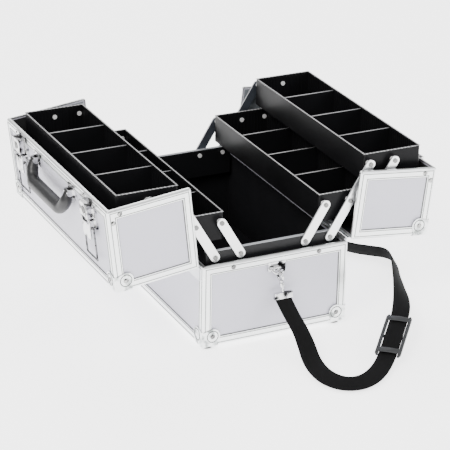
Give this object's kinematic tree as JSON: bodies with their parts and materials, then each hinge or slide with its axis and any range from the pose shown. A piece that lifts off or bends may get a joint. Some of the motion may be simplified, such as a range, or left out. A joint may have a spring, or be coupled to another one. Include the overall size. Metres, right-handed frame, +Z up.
{
  "type": "makeup train case",
  "caption": "Hard makeup train case with aluminium edges, split lids hinged on both long sides, cantilever trays, carry handle, latches and a detachable shoulder strap.",
  "frame": {"origin": "middle of the bottom board's underside, 6.6 mm above the surface that the feet stand on", "axes": "+Z up; +X across the case towards the narrower right lid; +Y along the case away from the near end, where the strap hangs"},
  "size_m": [0.5402, 0.5943, 0.2435],
  "materials": {
    "aluminium_rail": "satin silver extrusion",
    "lid_board": "fine silver-lavender laminate with a faint weave",
    "polished_metal": "polished nickel plate",
    "arm_metal": "bright satin strip",
    "hinge_metal": "brushed",
    "tray_plastic": "semi-gloss black with moulded ribs",
    "lining_board": "dark fine-grained lining",
    "lid_lining": "grey-blue lining film",
    "collar_board": "matt black board",
    "grip_plastic": "satin black",
    "foot_rubber": "matt black",
    "strap_webbing": "black woven webbing",
    "slider_plastic": "dark grey moulded"
  },
  "bodies": {
    "case_base": {"base_panels": "lid_board", "base_rim_rails": "aluminium_rail", "base_edge_rails": "aluminium_rail", "base_corner_caps": "polished_metal", "base_feet": "foot_rubber", "base_lining": "lining_board", "end_collars": "collar_board", "base_rivets": "polished_metal", "strap_ring_plates": "polished_metal", "hinge_base_leaves": "hinge_metal", "shoulder_strap": "strap_webbing", "strap_slider": "slider_plastic", "strap_end_clamps": "polished_metal", "snap_hooks": "polished_metal"},
    "handle_grip": {"handle_grip": "grip_plastic"},
    "left_hinge_pin": {"left_hinge_pin": "hinge_metal"},
    "left_lid": {"left_lid_panels": "lid_board", "left_lid_rails": "aluminium_rail", "left_lid_corner_caps": "polished_metal", "left_lid_rivets": "polished_metal", "left_lid_lining": "lid_lining", "left_hinge_leaf": "hinge_metal", "handle_brackets": "polished_metal", "latch_bodies": "polished_metal"},
    "left_long_arms": {"left_long_arms": "arm_metal"},
    "left_short_arms": {"left_short_arms": "arm_metal"},
    "left_upper_arms": {"left_upper_arms": "arm_metal"},
    "left_lower_tray": {"left_lower_tray": "tray_plastic", "left_lower_tray_dividers": "tray_plastic", "left_lower_tray_rivets": "polished_metal"},
    "left_upper_tray": {"left_upper_tray": "tray_plastic", "left_upper_tray_dividers": "tray_plastic", "left_upper_tray_rivets": "polished_metal"},
    "right_hinge_pin": {"right_hinge_pin": "hinge_metal"},
    "right_lid": {"right_lid_panels": "lid_board", "right_lid_rails": "aluminium_rail", "right_lid_corner_caps": "polished_metal", "right_lid_rivets": "polished_metal", "right_lid_lining": "lid_lining", "right_hinge_leaf": "hinge_metal", "latch_catches": "polished_metal"},
    "right_long_arms": {"right_long_arms": "arm_metal"},
    "right_short_arms": {"right_short_arms": "arm_metal"},
    "right_upper_arms": {"right_upper_arms": "arm_metal"},
    "right_lower_tray": {"right_lower_tray": "tray_plastic", "right_lower_tray_dividers": "tray_plastic", "right_lower_tray_rivets": "polished_metal"},
    "right_upper_tray": {"right_upper_tray": "tray_plastic", "right_upper_tray_dividers": "tray_plastic", "right_upper_tray_rivets": "polished_metal"},
    "near_latch_lever": {"near_latch_lever": "polished_metal"},
    "near_latch_loop": {"near_latch_loop": "polished_metal"},
    "near_lock_cylinder": {"near_lock_cylinder": "polished_metal"},
    "far_latch_lever": {"far_latch_lever": "polished_metal"},
    "far_latch_loop": {"far_latch_loop": "polished_metal"},
    "far_lock_cylinder": {"far_lock_cylinder": "polished_metal"},
    "near_strap_ring": {"near_strap_ring": "polished_metal"},
    "near_hook_gate": {"near_hook_gate": "polished_metal"},
    "far_strap_ring": {"far_strap_ring": "polished_metal"},
    "far_hook_gate": {"far_hook_gate": "polished_metal"}
  },
  "joints": [
    {"name": "left_lid_hinge", "type": "hinge", "parent": "case_base", "child": "left_hinge_pin", "pos_m": [-0.1125, 0, 0.1169], "axis": [0, 1, 0], "range_deg": [0, 90.7]},
    {"name": "left_lid_play", "type": "hinge", "parent": "left_hinge_pin", "child": "left_lid", "pos_m": [-0.1125, 0, 0.1169], "axis": [0, 1, 0], "range_deg": [0, 6]},
    {"name": "left_long_arm_base", "type": "hinge", "parent": "case_base", "child": "left_long_arms", "pos_m": [-0.0872, 0, 0.1248], "axis": [0, 1, 0], "range_deg": [0, 75.22]},
    {"name": "left_short_arm_base", "type": "hinge", "parent": "case_base", "child": "left_short_arms", "pos_m": [-0.0492, 0, 0.1248], "axis": [0, 1, 0], "range_deg": [0, 75.22]},
    {"name": "left_lower_tray_pivot", "type": "hinge", "parent": "left_long_arms", "child": "left_lower_tray", "pos_m": [-0.1163, 0, 0.17381], "axis": [0, 1, 0], "range_deg": [-75.22, 0]},
    {"name": "left_upper_tray_pivot", "type": "hinge", "parent": "left_long_arms", "child": "left_upper_tray", "pos_m": [-0.1454, 0, 0.22282], "axis": [0, 1, 0], "range_deg": [-75.22, 0]},
    {"name": "left_upper_arm_pivot", "type": "hinge", "parent": "left_lower_tray", "child": "left_upper_arms", "pos_m": [-0.1543, 0, 0.17381], "axis": [0, 1, 0], "range_deg": [0, 75.22]},
    {"name": "right_lid_hinge", "type": "hinge", "parent": "case_base", "child": "right_hinge_pin", "pos_m": [0.1125, 0, 0.1169], "axis": [0, -1, 0], "range_deg": [0, 90.3]},
    {"name": "right_lid_play", "type": "hinge", "parent": "right_hinge_pin", "child": "right_lid", "pos_m": [0.1125, 0, 0.1169], "axis": [0, -1, 0], "range_deg": [0, 6]},
    {"name": "right_long_arm_base", "type": "hinge", "parent": "case_base", "child": "right_long_arms", "pos_m": [0.0872, 0, 0.1248], "axis": [0, -1, 0], "range_deg": [0, 76.02]},
    {"name": "right_short_arm_base", "type": "hinge", "parent": "case_base", "child": "right_short_arms", "pos_m": [0.0492, 0, 0.1248], "axis": [0, -1, 0], "range_deg": [0, 76.02]},
    {"name": "right_lower_tray_pivot", "type": "hinge", "parent": "right_long_arms", "child": "right_lower_tray", "pos_m": [0.11698, 0, 0.1734], "axis": [0, -1, 0], "range_deg": [-76.02, 0]},
    {"name": "right_upper_tray_pivot", "type": "hinge", "parent": "right_long_arms", "child": "right_upper_tray", "pos_m": [0.14677, 0, 0.222], "axis": [0, -1, 0], "range_deg": [-76.02, 0]},
    {"name": "right_upper_arm_pivot", "type": "hinge", "parent": "right_lower_tray", "child": "right_upper_arms", "pos_m": [0.15498, 0, 0.1734], "axis": [0, -1, 0], "range_deg": [0, 76.02]},
    {"name": "handle_hinge", "type": "hinge", "parent": "left_lid", "child": "handle_grip", "pos_m": [-0.2538, 0, 0.20552], "axis": [0, 1, 0], "range_deg": [-14, 75]},
    {"name": "near_latch_lever_hinge", "type": "hinge", "parent": "left_lid", "child": "near_latch_lever", "pos_m": [-0.25033, -0.125, 0.18881], "axis": [0, -1, 0], "range_deg": [-100, 0]},
    {"name": "near_latch_loop_hinge", "type": "hinge", "parent": "near_latch_lever", "child": "near_latch_loop", "pos_m": [-0.24963, -0.125, 0.18285], "axis": [0, 1, 0], "range_deg": [0, 180]},
    {"name": "near_lock_turn", "type": "hinge", "parent": "left_lid", "child": "near_lock_cylinder", "pos_m": [-0.25728, -0.125, 0.20511], "axis": [-0.9932, 0, -0.1167], "range_deg": [0, 90]},
    {"name": "far_latch_lever_hinge", "type": "hinge", "parent": "left_lid", "child": "far_latch_lever", "pos_m": [-0.25033, 0.125, 0.18881], "axis": [0, -1, 0], "range_deg": [-100, 0]},
    {"name": "far_latch_loop_hinge", "type": "hinge", "parent": "far_latch_lever", "child": "far_latch_loop", "pos_m": [-0.24963, 0.125, 0.18285], "axis": [0, 1, 0], "range_deg": [0, 180]},
    {"name": "far_lock_turn", "type": "hinge", "parent": "left_lid", "child": "far_lock_cylinder", "pos_m": [-0.25728, 0.125, 0.20511], "axis": [-0.9932, 0, -0.1167], "range_deg": [0, 90]},
    {"name": "near_strap_ring_swing", "type": "hinge", "parent": "case_base", "child": "near_strap_ring", "pos_m": [0, -0.1889, 0.1015], "axis": [1, 0, 0], "range_deg": [-5, 5]},
    {"name": "near_hook_gate_hinge", "type": "hinge", "parent": "case_base", "child": "near_hook_gate", "pos_m": [0.00238, -0.19559, 0.08259], "axis": [-0.9783, 0, -0.2071], "range_deg": [0, 25], "stiffness_Nm_per_rad": 0.02},
    {"name": "far_strap_ring_swing", "type": "hinge", "parent": "case_base", "child": "far_strap_ring", "pos_m": [0, 0.1889, 0.1015], "axis": [1, 0, 0], "range_deg": [-5, 5]},
    {"name": "far_hook_gate_hinge", "type": "hinge", "parent": "case_base", "child": "far_hook_gate", "pos_m": [0, 0.19596, 0.08236], "axis": [1, 0, 0], "range_deg": [0, 25], "stiffness_Nm_per_rad": 0.02}
  ],
  "couplings": [
    {"joint": "left_long_arm_base", "follows": "left_lid_hinge", "ratio": 0.82911},
    {"joint": "left_short_arm_base", "follows": "left_lid_hinge", "ratio": 0.82911},
    {"joint": "left_lower_tray_pivot", "follows": "left_lid_hinge", "ratio": -0.82911},
    {"joint": "left_upper_tray_pivot", "follows": "left_lid_hinge", "ratio": -0.82911},
    {"joint": "left_upper_arm_pivot", "follows": "left_lid_hinge", "ratio": 0.82911},
    {"joint": "right_long_arm_base", "follows": "right_lid_hinge", "ratio": 0.84164},
    {"joint": "right_short_arm_base", "follows": "right_lid_hinge", "ratio": 0.84164},
    {"joint": "right_lower_tray_pivot", "follows": "right_lid_hinge", "ratio": -0.84164},
    {"joint": "right_upper_tray_pivot", "follows": "right_lid_hinge", "ratio": -0.84164},
    {"joint": "right_upper_arm_pivot", "follows": "right_lid_hinge", "ratio": 0.84164}
  ]
}
